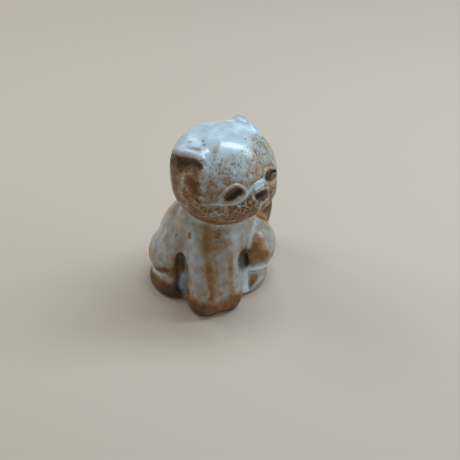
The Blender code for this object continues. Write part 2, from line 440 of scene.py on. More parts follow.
head_line("all_over", [(0, 40), (0, 41)], reach=200, core=150, paint=0.64)
for number, place in enumerate(PINHOLES):
    head_line(f"pinhole_{number}", [place], layer="iron_and_shade", reach=0.75, core=0.25, lift=-0.08,
              paint=0.7)
# The crown's light, bluish paint is partly thick glaze and partly painted skylight on top.
head_line("crown", [(-90, 66), (-90, 89), (90, 66), (150, 40), (-150, 40), (-120, 60)], reach=13,
          core=10, paint=0.93, ragged=2, ragged_size=4)
head_line("crown_fill", [(-128, 37), (-144, 38), (-160, 40)], reach=8, core=2, lift=0.9, strength=0)
print("strokes so far:", len(kitten.modifiers))

# %% [markdown]
# ## The sides of the face
# The cheeks were rubbed thinner and burnt brown, and the forehead keeps a grey in between. The two
# sides of the face are the same, so a run is written once and mirrored. It could be a texture, but
# then it would not know where the cheek ends.

# %% The forehead and the cheeks
head_run("forehead", [(-58, 36), (-34, 36), (-6, 34)], reach=7, core=3.5, paint=0.71, ragged=3,
         ragged_size=3)
head_run("face", [(-62, 10), (-36, 14), (-6, 8)], reach=6.5, core=3, paint=0.6, ragged=3,
         ragged_size=3)
head_run("lower_cheek", [(-100, -8), (-84, -14), (-66, -16), (-48, -18)], reach=4.5, core=2,
         paint=0.38, ragged=3, ragged_size=2)
head_run("cheek", [(-96, 34), (-87, 26), (-80, 15), (-81, 4), (-74, -3)], reach=4.4, core=1.6,
         paint=0.31, ragged=2.5, ragged_size=1.8)
head_run("behind_cheek", [(-124, 24), (-112, 15), (-103, 8), (-100, -4)], reach=4.2, core=1,
         paint=0.28, ragged=2.2, ragged_size=2)
head_run("cheek_streak", [(-101.8, 32), (-97, 26), (-94, 19), (-93, 12), (-95, 6), (-90, 0)],
         reach=1.3, core=0.2, paint=0.68, strength=0.75, ragged=1, ragged_size=1)
head_run("temple", [(-73, 40), (-69, 31), (-64, 21)], reach=1.3, core=0.4, paint=0.72, ragged=0.8,
         ragged_size=1)
# The chin's brown is partly painted shade on the underside of the head.
head_run("chin", [(-75, -26), (-59, -29), (-41, -33), (-20, -36), (-5.5, -37)], reach=3.4, core=1.4,
         paint=0.3, ragged=2, ragged_size=1.5)
print("strokes so far:", len(kitten.modifiers))

# %% [markdown]
# ## The net on the muzzle
# Round the mouth the glaze broke into a net of pale lines over brown. Such a pattern is drawn by the
# material, which can't know where the muzzle is, so a layer called veins tells it where the net is
# strong.

# %% The muzzle and the veins
# The muzzle's brown is painted a little darker as painted shade on the lower half of the head.
head_line("muzzle", [(-34, -6), (-14, -8), (-5, -8), (4, -8), (22, -6)], reach=5.6, core=3.6,
          paint=0.31, ragged=2, ragged_size=2)
head_line("muzzle_veins", [(-36, -6), (-14, -8), (-5, -8), (4, -8), (26, -4)], layer="veins",
          reach=6.5, core=4, paint=1.0)
head_line("nose_veins", [(-22, -3), (-8, -7), (4, -6), (9, 2), (8, 8)], layer="veins", reach=5,
          core=2.5, paint=1.15)
head_run("cheek_veins", [(-88, 10), (-76, 0)], layer="veins", reach=5, core=2, paint=0.35)
head_run("jaw_veins", [(-70, -12), (-54, -14), (-36, -22), (-5.5, -26)], layer="veins", reach=6.5,
         core=4, paint=0.65)
print("strokes so far:", len(kitten.modifiers))

# %% [markdown]
# ## Iron specks
# Specks of iron in the clay bleed through the glaze, most of them on the forehead and round the
# eyes. Each could be a stroke, but hundreds of dots are better left to the material. Only how many
# there are is painted here, as a layer called specks.

# %% The brow and the specks
head_line("brow", [(2, 38), (8, 30), (0, 26)], reach=4.5, core=1.5, paint=0.62, ragged=3,
          ragged_size=2)
head_run("forehead_specks", [(-62, 34), (-34, 40), (-6, 40)], layer="specks", reach=6.5, core=3.5,
         paint=0.8)
head_run("face_specks", [(-66, 16), (-36, 18), (-6, 12)], layer="specks", reach=5.5, core=3,
         paint=1.0)
head_run("cheek_specks", [(-100, 20), (-84, 8), (-66, -8)], layer="specks", reach=6, core=3,
         paint=0.6)
print("strokes so far:", len(kitten.modifiers))

# %% [markdown]
# ## The ears
# An ear is a low ridge with a hollow below it. Glaze ran off the ridge and left it white, stopped in
# a torn edge, and that white is also a painted highlight along the ridge. The hollow stayed bare, and
# it and a band below it are painted brown and nearly black, also as painted shade under the ridge.
# Two strokes on the same path give that hollow its brown and its dark painted shade. The ears are
# mirrored about the middle of the head, because the face lies a little to one side of it.

# %% The ears
UNDER_EAR = [(-133, 24), (-124, 27.5), (-110, 34.5), (-100, 38.5), (-88, 41.5), (-77, 42)]
BELOW_EAR_SHADE = [(-128, 16), (-117, 23), (-106, 32), (-94, 37), (-82, 39)]
EAR_RIDGE = [(-136, 30), (-122, 37), (-110, 42.5), (-98, 46), (-88, 48.5), (-78, 49)]
EAR_DRIP = [(-79, 49.5), (-72, 47), (-67.5, 43)]


def ear_run(name, line, **how):
    """A stroke on both ears."""
    stroke(guide(name, on_head, both(line, axis=0)), **how)


head_line("ear_streak", [(-112, 45.5), (-104.6, 51), (-91, 56)], reach=0.8, core=0.1, paint=0.62,
          ragged=0.5, ragged_size=0.8)
head_line("crown_smudge", [(-61, 66), (-60.8, 57)], reach=1.3, paint=0.6, strength=0.6, ragged=0.5,
          ragged_size=0.8)
head_line("ear_trim", [(104, 50), (112, 49), (121, 52)], reach=2.8, core=0.5, lift=-0.7, strength=0)
head_line("ear_foot", [(72, 46), (66, 43)], reach=2.6, core=0.3, lift=0.4, strength=0)
# The ridge's white is thick glaze and a painted highlight along its top.
ear_run("ear_ridge", EAR_RIDGE, reach=1.3, core=0.3, lift=0.4, paint=1.0)
ear_run("hollow_fill", [(-105, 32.5), (-94, 37), (-84, 39)], reach=2.8, core=0.4, lift=0.35,
        strength=0)
# Painted shade: a brown, darkened band below the ear, partly bare clay.
ear_run("below_ear", BELOW_EAR_SHADE, reach=3.2, core=0.4, paint=0.3, ragged=2.6, ragged_size=1.4)
ear_run("below_ear_iron", BELOW_EAR_SHADE, layer="iron_and_shade", reach=3, core=0.5, paint=0.1, ragged=2.4,
        ragged_size=1.4)
# Painted shade: the groove under the ridge is brown and nearly black, partly bare clay.
ear_run("under_ear", UNDER_EAR, reach=1.9, core=0.7, lift=-0.5, paint=0.12, ragged=1.3,
        ragged_size=0.8)
ear_run("under_ear_iron", UNDER_EAR, layer="iron_and_shade", reach=1.3, core=0.3, paint=0.55, ragged=1.3,
        ragged_size=0.7)
ear_run("ear_drip", EAR_DRIP, reach=1.6, core=0.5, lift=0.05, paint=1.0, ragged=0.4,
        ragged_size=0.8)
print("strokes so far:", len(kitten.modifiers))

# %% [markdown]
# ## The right haunch and foot
# The haunch is a round, plain grey swelling with a brown foot under it, and a thin white line is
# painted in the crease between the two. The material will whiten every crease a little by itself.
# This one is much whiter than the others, so it has a stroke of its own.

# %% The right haunch and foot
def body_run(name, line, **how):
    """A stroke on the body, by turns and heights."""
    stroke(guide(name, on_body, [line]), **how)


body_run("haunch", [(-88, 20), (-82, 16.5), (-70, 16)], reach=5.6, core=4.6, paint=0.69, ragged=1.2,
         ragged_size=3)
body_run("under_haunch", [(-76, 8.8), (-70, 9.4), (-65.3, 10.4)], reach=1.5, core=0.4, paint=0.34,
         ragged=1, ragged_size=1.5)
body_run("haunch_edge", [(-92, 11), (-89, 6)], reach=2, core=0.5, paint=0.34, ragged=1,
         ragged_size=2)
body_run("right_foot", [(-92, 2.2), (-76, 2.6), (-64, 3.0), (-53, 2.8)], reach=3.4, core=1.6,
         paint=0.28, ragged=1.5, ragged_size=2)
body_run("haunch_crease", [(-88, 5.3), (-78, 6.5), (-67, 8)], reach=1.3, core=0.2, lift=-0.2,
         paint=0.8, ragged=0.7, ragged_size=1)
print("strokes so far:", len(kitten.modifiers))

# %% [markdown]
# ## The front legs
# The two front legs are one column of clay. Glaze ran down it in pale streaks with brown between
# them, and the right streak ends in a fat drop above the paws. The paws themselves were wiped. The
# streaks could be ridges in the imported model, but they are so low that a lifted stroke is enough.

# %% The front legs and the paws
body_run("leg_column", [(-11, 26), (-10.3, 20.3), (-7.3, 17), (-6.2, 13.4), (-4.2, 8)], reach=3.4,
         core=1.2, paint=0.42, ragged=3, ragged_size=1.8)
body_run("left_column", [(23, 17.4), (18.8, 13.4), (17, 8.2)], reach=1.8, core=0.3, paint=0.46,
         ragged=1.2, ragged_size=1.5)
body_run("paws", [(-33, 3.6), (-18.4, 3), (-7.5, 2.6), (5.4, 2.6), (18, 3.6)], reach=4.4, core=1.6,
         paint=0.33, ragged=1.8, ragged_size=2.5)
body_run("paw_soles", [(-33, 0.6), (-7.5, 0.6), (18, 0.8)], reach=1.6, core=0.3, paint=0.2,
         ragged=0.8, ragged_size=2)
body_run("leg_streak", [(-40, 23.8), (-30.6, 20), (-26.5, 17), (-23, 13.5), (-20, 10.6),
                        (-17, 8.6)], reach=2.2, core=1.5, lift=0.15, paint=0.75, ragged=0.5,
         ragged_size=1.5)
body_run("streak_drop", [(-17.5, 8.4)], reach=2.3, core=0.9, lift=0.1, paint=0.73, ragged=0.5,
         ragged_size=1.5)
body_run("pad", [(-34.6, 6.6), (-38, 4)], reach=1.7, core=0.5, paint=0.36, ragged=1,
         ragged_size=1.5)
body_run("left_band", [(56, 24), (44, 23.9), (37, 19), (28, 14.6), (24, 10.7), (22, 7)], reach=2,
         core=0.6, paint=0.72, ragged=1, ragged_size=1.5)
body_run("centre_streak", [(2.8, 17.7), (4, 13.7), (3.5, 8.5)], reach=1.2, core=0.2, paint=0.62,
         ragged=1, ragged_size=1)
body_run("chest_specks", [(2, 23.8), (12, 24.8), (17, 22.3)], layer="specks", reach=2.4, core=1,
         paint=0.9)
body_run("elbow_spot", [(-45.7, 22.6), (-46, 23.8)], reach=0.9, core=0.1, paint=0.3, ragged=0.4,
         ragged_size=0.8)
print("strokes so far:", len(kitten.modifiers))

# %% [markdown]
# ## The left side
# On the left the thigh folds over the foot. Glaze gathered in that fold and down the edge of the
# leg, so thickly that it stands up as a white ledge, which is painted brighter than any glaze as a
# painted highlight. The tail behind it was wiped nearly bare. A ledge that is a piece of its own
# would look stuck on, so the skin itself is lifted there.

# %% The left side and the tail
def place_run(name, line, **how):
    """A stroke through places given outright."""
    stroke(guide(name, at, [line]), **how)


body_run("tail", [(112, 17), (116, 15.5), (117, 12)], reach=4, core=2, paint=0.26, ragged=1,
         ragged_size=2)
body_run("left_thigh", [(68, 17.4), (60, 15.8), (62, 13.5)], reach=3.2, core=0.8, paint=0.36,
         ragged=1.4, ragged_size=2)
body_run("left_fold", [(90, 19.5), (76, 19.2), (65, 18.4), (56, 16.6)], reach=1.2, lift=-0.15,
         paint=0.72, strength=0.8, ragged=0.8, ragged_size=1)
body_run("left_foot", [(49, 3.7), (57, 5)], reach=1.9, core=0.5, paint=0.38, ragged=0.6,
         ragged_size=1)
body_run("left_foot_rim", [(45, 1.5), (55, 3), (66, 3.4)], reach=0.9, core=0.2, paint=0.8)
# Paint above one reaches the top of the colour scale, a painted highlight on the pooled glaze.
place_run("left_ledge", [(9.0, -8.2, 9.2), (9.8, -8, 9.6), (11.5, -8.2, 9.6), (13.5, -7.2, 9)],
          reach=1.3, core=0.6, lift=0.45, paint=1.4)
place_run("left_ledge_foot", [(8.4, -7.6, 9), (8.3, -8.3, 5.2), (8.2, -9.6, 3.1), (8.6, -10, 2)],
          reach=1.1, core=0.5, lift=0.3, paint=1.4)
print("strokes so far:", len(kitten.modifiers))

# %% [markdown]
# ## The hollows beside the legs
# Little glaze reached the hollows, so they are brown, and deep inside they are painted nearly black.
# The brown and the black are partly painted shade, on top of the shadow that the lamps make. One
# wall of the right hollow is painted pale, partly as a glaze run and partly as a painted reflection.

# %% The hollows
RIGHT_HOLLOW = [(-9.6, 15.5), (-9.8, 12), (-10, 10), (-10.3, 7.8), (-10.5, 5.6), (-10.4, 3.4)]


def front_run(name, line, **how):
    """A stroke on what is seen from straight in front."""
    stroke(guide(name, from_front, [line]), **how)


# Painted shade: the right hollow's brown and near-black inside, partly thin glaze.
front_run("right_hollow", RIGHT_HOLLOW, reach=2.6, core=1.2, paint=0.26)
front_run("right_hollow_iron", RIGHT_HOLLOW[:3], layer="iron_and_shade", reach=2.6, core=1.0, paint=0.4)
# The pale wall is partly a glaze run and partly a painted reflection.
place_run("leg_edge", [(-9, -7.8, 16.8), (-8.4, -5.7, 11.9), (-8.2, -6, 9), (-9.1, -5, 4.8),
                       (-10.1, -6.1, 2.7)], reach=1.5, core=0.8, paint=0.74)
# Painted shade: brown and near-black in the left hollow, partly thin glaze.
front_run("left_hollow", [(8.8, 12), (9.2, 10.2)], reach=1.8, core=0.8, paint=0.3)
front_run("left_hollow_iron", [(9.2, 11.2), (9.4, 10)], layer="iron_and_shade", reach=1.6, core=0.5,
          paint=0.65)
print("strokes so far:", len(kitten.modifiers))

# %% [markdown]
# ## The eyes and the fold
# The eyes are almonds pressed into the clay inside a raised lid, with the eye itself a slit along
# the lower edge. A raised fold runs from the cheek under the near eye and up over the muzzle. First
# the ground round them is browned, then the lids and the fold are raised on it, clear of the specks
# and the net. A lid could be a thin tube, but glaze flows from lid to cheek without a seam.

# %% The eyes and the fold
EYE_LID = [(-47, 10.5), (-42, 18.5), (-35, 24), (-27, 25.5), (-20.5, 21.5), (-18.5, 15.5),
           (-24, 10.5), (-32, 7.8), (-41, 7.1)]
EYE_MIDDLE = [(-37, 14), (-31, 17), (-25, 19.5)]
MUZZLE_FOLD = [(-64, 2), (-51, 5.5), (-41, 5.5), (-30, 6.5), (-20, 11.5), (-12, 17), (-3, 19),
               (6, 18.5)]
NOSE_MIDDLE = [(-4, 6), (2, 7)]

EYE_LIDS = guide("eye_lids", on_head, both(EYE_LID), closed=True)
FOLD = guide("muzzle_fold", on_head, [MUZZLE_FOLD])
stroke(EYE_LIDS, reach=1.6, core=0.4, paint=0.36, strength=0.8, ragged=0.9, ragged_size=0.9)
stroke(FOLD, reach=1.8, core=0.5, paint=0.4, strength=0.7, ragged=0.9, ragged_size=0.9)
head_run("eye_middle", EYE_MIDDLE, reach=2.0, core=0.9, lift=-0.15, paint=0.12)
head_line("nose_calm", NOSE_MIDDLE, layer="veins", reach=3.2, core=1.8, paint=0.25)
head_line("nose_halo", NOSE_MIDDLE, reach=2.5, core=1.1, paint=0.26, ragged=0.5, ragged_size=1)
stroke(FOLD, reach=0.8, core=0.2, lift=0.22, paint=0.9)
for layer in ("specks", "veins"):
    stroke(FOLD, layer=layer, reach=1.1, core=0.4, paint=0.0)
    stroke(EYE_LIDS, layer=layer, reach=0.9, core=0.3, paint=0.0)
print("strokes so far:", len(kitten.modifiers))

# %% [markdown]
# ## The nose, the slits and the mouth
# The nose is a dark button inside a thin ring, under a raised bridge that is painted white as a
# painted highlight. The mouth is one drawn line, with a dip that joins it to the nose. They could be
# cut with Booleans, which leave sharp edges, but glaze rounds every edge, as a stroke does. Iron is
# brushed into the eyes and on the nose, so it has a layer of its own, which darkens whatever the
# glaze does. The same layer carries the painted shade in the hollows and under the ears.

# %% The nose, the slits and the mouth
EYE_SLITS = [[(-37.5, 11.5), (-31, 14), (-24.5, 18.5)], [(12.8, 17.3), (22.4, 15.4), (32.6, 14)]]
BRIDGE = [(-5, 17), (1, 17.5), (6, 17)]
NOSE = [(-6.2, 7.8), (-2.2, 9.2), (2.2, 9.8)]
NOSE_RING = [(-12, 11), (-11, 6), (-7, 1), (-2, -2.5), (4, -2)]
MOUTH = [(-33, -18.4), (-23.5, -19.5), (-14, -21.5), (-5.5, -22), (3, -21.5), (12.5, -19.5),
         (22, -18.4)]
LIP_DIP = [(-2, -1), (-2.5, -7.7), (-4, -15), (-5, -21)]

head_line("nose_ring", NOSE_RING, reach=0.6, core=0.1, lift=0.12, paint=0.74)
# The bridge's white is a painted highlight on a raised bump.
head_line("bridge", BRIDGE, reach=1.3, core=0.5, lift=0.2, paint=1.0)
stroke(EYE_LIDS, reach=0.62, core=0.12, lift=0.3, paint=0.9)
SLITS = guide("eye_slits", on_head, EYE_SLITS)
stroke(SLITS, reach=0.7, core=0.2, lift=-0.2, paint=0.2)
stroke(SLITS, layer="iron_and_shade", reach=0.8, core=0.35, paint=1.0)
head_line("nose_tip", NOSE, layer="iron_and_shade", reach=0.95, core=0.45, lift=0.1, paint=1.0)
head_line("lip_dip", LIP_DIP, reach=0.6, core=0.1, lift=-0.12, paint=0.7)
head_line("mouth", MOUTH, reach=0.8, core=0.1, lift=-0.35, paint=0.2)
head_line("mouth_iron", MOUTH, layer="iron_and_shade", reach=0.5, paint=0.5)
print("strokes in all:", len(kitten.modifiers))

# %% [markdown]
# ## Fixing the strokes
# The strokes now become a plain mesh, and the guides have done their work. The imported model's box is
# the part's true size, so lifted glaze that reaches past it is brought back inside.

# %% Make the strokes real and keep them inside the box
settle(kitten)
for used in [made for made in bpy.data.objects if made.get("guide")]:
    bpy.data.objects.remove(used)

strayed = 0
for vert in kitten.data.vertices:
    inside = [min(max(vert.co[axis], cad_low[axis]), cad_high[axis]) for axis in range(3)]
    strayed += (Vector(inside) - vert.co).length > MERGE
    vert.co = inside
print("points brought back inside the packed model's box:", strayed)

# %% [markdown]
# ## Where glaze runs thin and where it pools
# Molten glaze leaves edges and gathers in creases. The skin can tell the two apart by itself: where
# the average of its neighbours lies above a point, the point is in a hollow. One more tree measures
# that at two sizes, and stores both as layers, one for drawn lines and one for the folds between the
# limbs.

# %% Measure the hollows and the edges
NEAR_ROUNDS = 8
FAR_ROUNDS = 90
NEAR_SCALE = 0.05 * MM
FAR_SCALE = 0.5 * MM


def pooling_tree():
    tree, given = new_tree("pooling", {"Rounds": "Int", "Scale": "Float", "Layer": "String"})
    place = wire(tree, "GeometryNodeInputPosition").outputs[0]
    soft = wire(tree, "GeometryNodeBlurAttribute", data_type="FLOAT_VECTOR",
                Iterations=given["Rounds"])
    tree.links.new(place, soft.inputs["Value"])
    apart = wire(tree, "ShaderNodeVectorMath", operation="SUBTRACT", i0=soft.outputs["Value"],
                 i1=place)
    normal = wire(tree, "GeometryNodeInputNormal").outputs[0]
    depth = wire(tree, "ShaderNodeVectorMath", operation="DOT_PRODUCT", i0=apart.outputs[0],
                 i1=normal)
    share = math_node(tree, "DIVIDE", depth.outputs["Value"], given["Scale"])
    kept = wire(tree, "GeometryNodeStoreNamedAttribute", data_type="FLOAT", domain="POINT",
                Geometry=given["Geometry"], Name=given["Layer"], Value=share)
    end_tree(tree, kept.outputs[0])
    return tree


POOLING = pooling_tree()
add_tree("pool_near", POOLING, {"Layer": "pool_near", "Rounds": NEAR_ROUNDS, "Scale": NEAR_SCALE})
add_tree("pool_far", POOLING, {"Layer": "pool_far", "Rounds": FAR_ROUNDS, "Scale": FAR_SCALE})
settle(kitten)
for name in ("glaze", "pool_near", "pool_far"):
    values = sorted(item.value for item in kitten.data.attributes[name].data)
    samples = [round(values[int(len(values) * share)], 2) for share in (0.02, 0.5, 0.98)]
    print(name, "low, middle, high:", samples)

# %% [markdown]
# ## The colours
# One material covers the kitten. Its main colours lie along a single scale, from the rust of the
# thinnest glaze to the milky blue-white of the thickest. The kiln works in the same way, so a colour
# ramp on one number looks more real than a mix of separate colours. The blue near the top of the
# scale is partly painted skylight, and its last stop, lighter than any glaze, is a painted highlight.

# %% The colours of the glaze
def srgb(red, green, blue):
    """A colour written as on a screen, 0 to 255, as Blender's linear values."""
    linear = []
    for value in (red, green, blue):
        value /= 255
        linear.append(value / 12.92 if value <= 0.04045 else ((value + 0.055) / 1.055) ** 2.4)
    return (*linear, 1.0)


# The dark of iron, also used for painted shade in the hollows and under the ears.
IRON_AND_SHADE_COLOUR = srgb(26, 22, 24)
SPECK_COLOUR = srgb(88, 66, 50)
GLAZE_AND_PAINTED_LIGHT_COLOURS = [
    (0.00, srgb(46, 31, 20)),
    (0.16, srgb(92, 61, 33)),
    (0.32, srgb(136, 92, 48)),
    (0.44, srgb(155, 123, 82)),
    (0.56, srgb(162, 150, 129)),
    (0.70, srgb(176, 177, 172)),
    # From here up, the blue tint is partly painted skylight.
    (0.84, srgb(188, 200, 207)),
    (0.93, srgb(198, 217, 229)),
    # The last stop is a painted highlight, lighter than the glaze itself.
    (1.00, srgb(224, 238, 246)),
]
print("stops of the colour ramp:", len(GLAZE_AND_PAINTED_LIGHT_COLOURS))

# %% [markdown]
# ## Patterns in a melt
# Whatever melted has no straight line and no sharp end. So every pattern in the glaze comes from
# noise, or is read at places that noise has shifted, and every change of strength is a soft step.
# The noise is fixed to the object, because a pattern that is fixed to the camera would swim.

# %% Helpers for the patterns
DRIFT_SIZE = 0.8 * MM


def spread(tree, value, low, high, to_low, to_high):
    """Maps low and high to two other values, with a soft step between them."""
    return wire(tree, "ShaderNodeMapRange", interpolation_type="SMOOTHSTEP", Value=value,
                From_Min=low, From_Max=high, To_Min=to_low, To_Max=to_high).outputs[0]


def layer_of(tree, name):
    """One of the skin's layers."""
    return wire(tree, "ShaderNodeAttribute", attribute_name=name).outputs["Fac"]


def noise(tree, place, size, detail):
    """Soft noise with features of about that size."""
    return wire(tree, "ShaderNodeTexNoise", Vector=place, Scale=1 / size, Detail=detail)


def swing(tree, value, share, base):
    """Adds to the base a noise, which lies about one half, by that share of its swing."""
    return math_node(tree, "MULTIPLY_ADD", math_node(tree, "SUBTRACT", value, 0.5), share, base)


def bend(tree, place, by):
    """Shifts a place a little by noise, so that a pattern that is read there loses its order."""
    drift = noise(tree, place, DRIFT_SIZE, 2.0).outputs["Color"]
    shift = wire(tree, "ShaderNodeVectorMath", operation="SCALE", i0=drift, Scale=by)
    return wire(tree, "ShaderNodeVectorMath", operation="ADD", i0=place,
                i1=shift.outputs[0]).outputs[0]


print("size of the shifting noise, mm:", round(DRIFT_SIZE / MM, 2))

# %% [markdown]
# ## How thick the glaze lies
# Thickness is a sum. The painted layer gives the runs, the two measured layers thin the edges and
# fill the creases, and a soft cloud stands for the melt. It could be one hand-painted picture, but
# then a changed shape would leave its own edges behind.

# %% The even thickness
CLOUD_SIZE, CLOUD_SHARE = 4.5 * MM, 0.4
POOL_LIMIT, NEAR_SHARE, FAR_SHARE = 1.5, 0.08, 0.04


def even_thickness(tree, place):
    """The runs, the edges and creases, and the cloud."""
    near = math_node(tree, "MAXIMUM", layer_of(tree, "pool_near"), -POOL_LIMIT)
    near = math_node(tree, "MINIMUM", near, POOL_LIMIT)
    thick = math_node(tree, "MULTIPLY_ADD", near, NEAR_SHARE, layer_of(tree, "glaze"))
    thick = math_node(tree, "MULTIPLY_ADD", layer_of(tree, "pool_far"), FAR_SHARE, thick)
    return swing(tree, noise(tree, place, CLOUD_SIZE, 2.0).outputs[0], CLOUD_SHARE, thick)


print("the most that a near crease adds to the thickness:", round(POOL_LIMIT * NEAR_SHARE, 2))

# %% [markdown]
# ## How the glaze breaks up
# A breaking glaze is never even. It has a broad mottle and a fine grain, and on the muzzle it forms
# the pale net, which is drawn by the borders between Voronoi cells. All three change the thickness
# and not the colour, so that they stay on the same scale of colours. They fade where the glaze is
# very thin or very thick, because there the kiln has nothing left to break. Each soft step is four
# numbers: from where to where it goes, and its two values.

# %% The break-up
MOTTLE_SIZE, MOTTLE_SHARE, MOTTLE_ON_FACE = 2.0 * MM, 0.5, 0.25
GRAIN_SIZE, GRAIN_SHARE, GRAIN_ON_FACE = 0.5 * MM, 0.12, 0.55
NET_CELL, NET_BEND, NET_SHARE = 1.4 * MM, 0.6 * MM, 0.31
NET_LINE = (0.015, 0.2, 1.0, -0.4)
NET_PATCHES = (0.36, 0.56, 0.6, 1.05)
CALM_IF_THIN = (0.1, 0.4, 0.3, 1.0)
CALM_IF_THICK = (0.66, 0.98, 1.0, 0.2)


def broken_thickness(tree, place, thick):
    """The thickness with its mottle, grain and net."""
    veined = layer_of(tree, "veins")
    drawn = math_node(tree, "ADD", layer_of(tree, "specks"), veined)
    bent = bend(tree, place, NET_BEND)
    mottle = noise(tree, bent, MOTTLE_SIZE, 3.0).outputs[0]
    broad = math_node(tree, "MULTIPLY_ADD", drawn, MOTTLE_ON_FACE, MOTTLE_SHARE)
    change = swing(tree, mottle, broad, 0.0)
    fine = math_node(tree, "MULTIPLY_ADD", drawn, GRAIN_ON_FACE, GRAIN_SHARE)
    change = swing(tree, noise(tree, place, GRAIN_SIZE, 2.0).outputs[0], fine, change)
    cells = wire(tree, "ShaderNodeTexVoronoi", feature="DISTANCE_TO_EDGE", Vector=bent,
                 Scale=1 / NET_CELL)
    net = spread(tree, cells.outputs["Distance"], *NET_LINE)
    patchy = math_node(tree, "MULTIPLY", veined, spread(tree, mottle, *NET_PATCHES))
    net = math_node(tree, "MULTIPLY", net, patchy)
    change = math_node(tree, "MULTIPLY_ADD", net, NET_SHARE, change)
    lively = math_node(tree, "MULTIPLY", spread(tree, thick, *CALM_IF_THIN),
                       spread(tree, thick, *CALM_IF_THICK))
    return math_node(tree, "MULTIPLY_ADD", change, lively, thick, clamp=True)


print("sizes of the patterns, mm:", [round(size / MM, 2) for size in (
    MOTTLE_SIZE, NET_CELL, GRAIN_SIZE)])

# %% [markdown]
# ## The shape of a speck
# A speck is a round dot of its own size. Noise can't draw that, and makes worms instead. So the
# specks come from a Voronoi pattern: each cell may hold one dot, and the cell's random colour
# decides both whether it does and how big the dot is.

# %% Specks and stains
SPECK_CELL, SPECK_SHIFT = 0.8 * MM, 0.7 * MM
SPECK_CHANCE, FEWEST_SPECKS = 0.8, 0.012
SMALLEST_SPECK, SPECK_VARIETY = 0.14, 0.4
SPECK_EDGE, SPECK_DEPTH = (-0.16, 0.22), 0.56


def speck_share(tree, place):
    """How much of the speck colour shows at each place."""
    cell = wire(tree, "ShaderNodeTexVoronoi", feature="F1", Vector=bend(tree, place, SPECK_SHIFT),
                Scale=1 / SPECK_CELL)
    chance = wire(tree, "ShaderNodeSeparateColor", Color=cell.outputs["Color"]).outputs
    wanted = math_node(tree, "MULTIPLY_ADD", layer_of(tree, "specks"), SPECK_CHANCE, FEWEST_SPECKS)
    kept = math_node(tree, "LESS_THAN", chance[0], wanted)
    radius = math_node(tree, "MULTIPLY_ADD", chance[1], SPECK_VARIETY, SMALLEST_SPECK)
    within = math_node(tree, "SUBTRACT", radius, cell.outputs["Distance"])
    return math_node(tree, "MULTIPLY", spread(tree, within, *SPECK_EDGE, 0.0, SPECK_DEPTH), kept)


def stain(tree, colour, share, with_colour):
    """Lays a second colour over the first by that share."""
    mixed = wire(tree, "ShaderNodeMix", data_type="RGBA", Factor=share)
    tree.links.new(colour, mixed.inputs[6])
    mixed.inputs[7].default_value = with_colour
    return mixed.outputs[2]


print("the widest specks, mm:", round(
    2 * (SMALLEST_SPECK + SPECK_VARIETY) * SPECK_CELL / MM, 2))

# %% [markdown]
# ## The glaze itself
# The thickness picks the colour from the ramp, and specks and the layer of iron and painted shade lie
# over it. Thick glaze is glossy and thin glaze is nearly matt, so the same number sets the roughness.
# It also gives the
# surface a faint relief, together with a slow orange peel.

# %% Put the glaze together
THIN_TO_THICK = (0.1, 0.8)
THIN_ROUGH, THICK_ROUGH, IRON_ROUGH = 0.42, 0.13, 0.25
GLASS_INDEX = 1.52
PEEL_SIZE, PEEL_HEIGHT, GLAZE_HEIGHT = 1.4 * MM, 0.05, 0.06


def breaking_glaze(finish):
    finish.use_nodes = True
    tree = finish.node_tree
    shader = tree.nodes["Principled BSDF"]
    place = wire(tree, "ShaderNodeTexCoord").outputs["Object"]
    iron_and_shade = layer_of(tree, "iron_and_shade")
    total = broken_thickness(tree, place, even_thickness(tree, place))

    ramp = wire(tree, "ShaderNodeValToRGB", Fac=total)
    stops = ramp.color_ramp.elements
    while len(stops) < len(GLAZE_AND_PAINTED_LIGHT_COLOURS):
        stops.new(0.5)
    for stop, (position, colour) in zip(stops, GLAZE_AND_PAINTED_LIGHT_COLOURS):
        stop.position = position
        stop.color = colour
    flecked = stain(tree, ramp.outputs["Color"], speck_share(tree, place), SPECK_COLOUR)
    tree.links.new(stain(tree, flecked, iron_and_shade, IRON_AND_SHADE_COLOUR), shader.inputs["Base Color"])

    rough = spread(tree, total, *THIN_TO_THICK, THIN_ROUGH, THICK_ROUGH)
    rough = math_node(tree, "MULTIPLY_ADD", iron_and_shade, IRON_ROUGH, rough)
    tree.links.new(rough, shader.inputs["Roughness"])
    shader.inputs["IOR"].default_value = GLASS_INDEX

    peel = math_node(tree, "MULTIPLY", noise(tree, place, PEEL_SIZE, 1.0).outputs[0], PEEL_HEIGHT)
    height = math_node(tree, "MULTIPLY_ADD", total, GLAZE_HEIGHT, peel)
    bump = wire(tree, "ShaderNodeBump", Strength=1.0, Distance=1.0 * MM, Height=height)
    tree.links.new(bump.outputs[0], shader.inputs["Normal"])


breaking_glaze(GLAZE)
print("materials on the kitten:", [used.name for used in kitten.data.materials])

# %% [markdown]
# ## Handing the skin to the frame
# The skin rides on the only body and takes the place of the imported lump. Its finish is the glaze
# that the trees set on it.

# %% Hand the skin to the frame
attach(kitten, "root")
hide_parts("kitten")
print("the skin stands for the node:", clay_node.name)

# %% [markdown]
# ## The table
# A plain pale table carries the kitten and keeps its shadow. A flat plane ends in a hard dark
# horizon in low views. So the far part fades, for the camera alone, into the pale surroundings.

# %% The table
FLOOR_HALF = 2.0
TABLE_COLOUR = (0.67, 0.56, 0.46, 1)
TABLE_ROUGH = 0.8
PALE = (0.68, 0.63, 0.57, 1)
NEAR_TABLE = 0.15
FAR_TABLE = 0.6


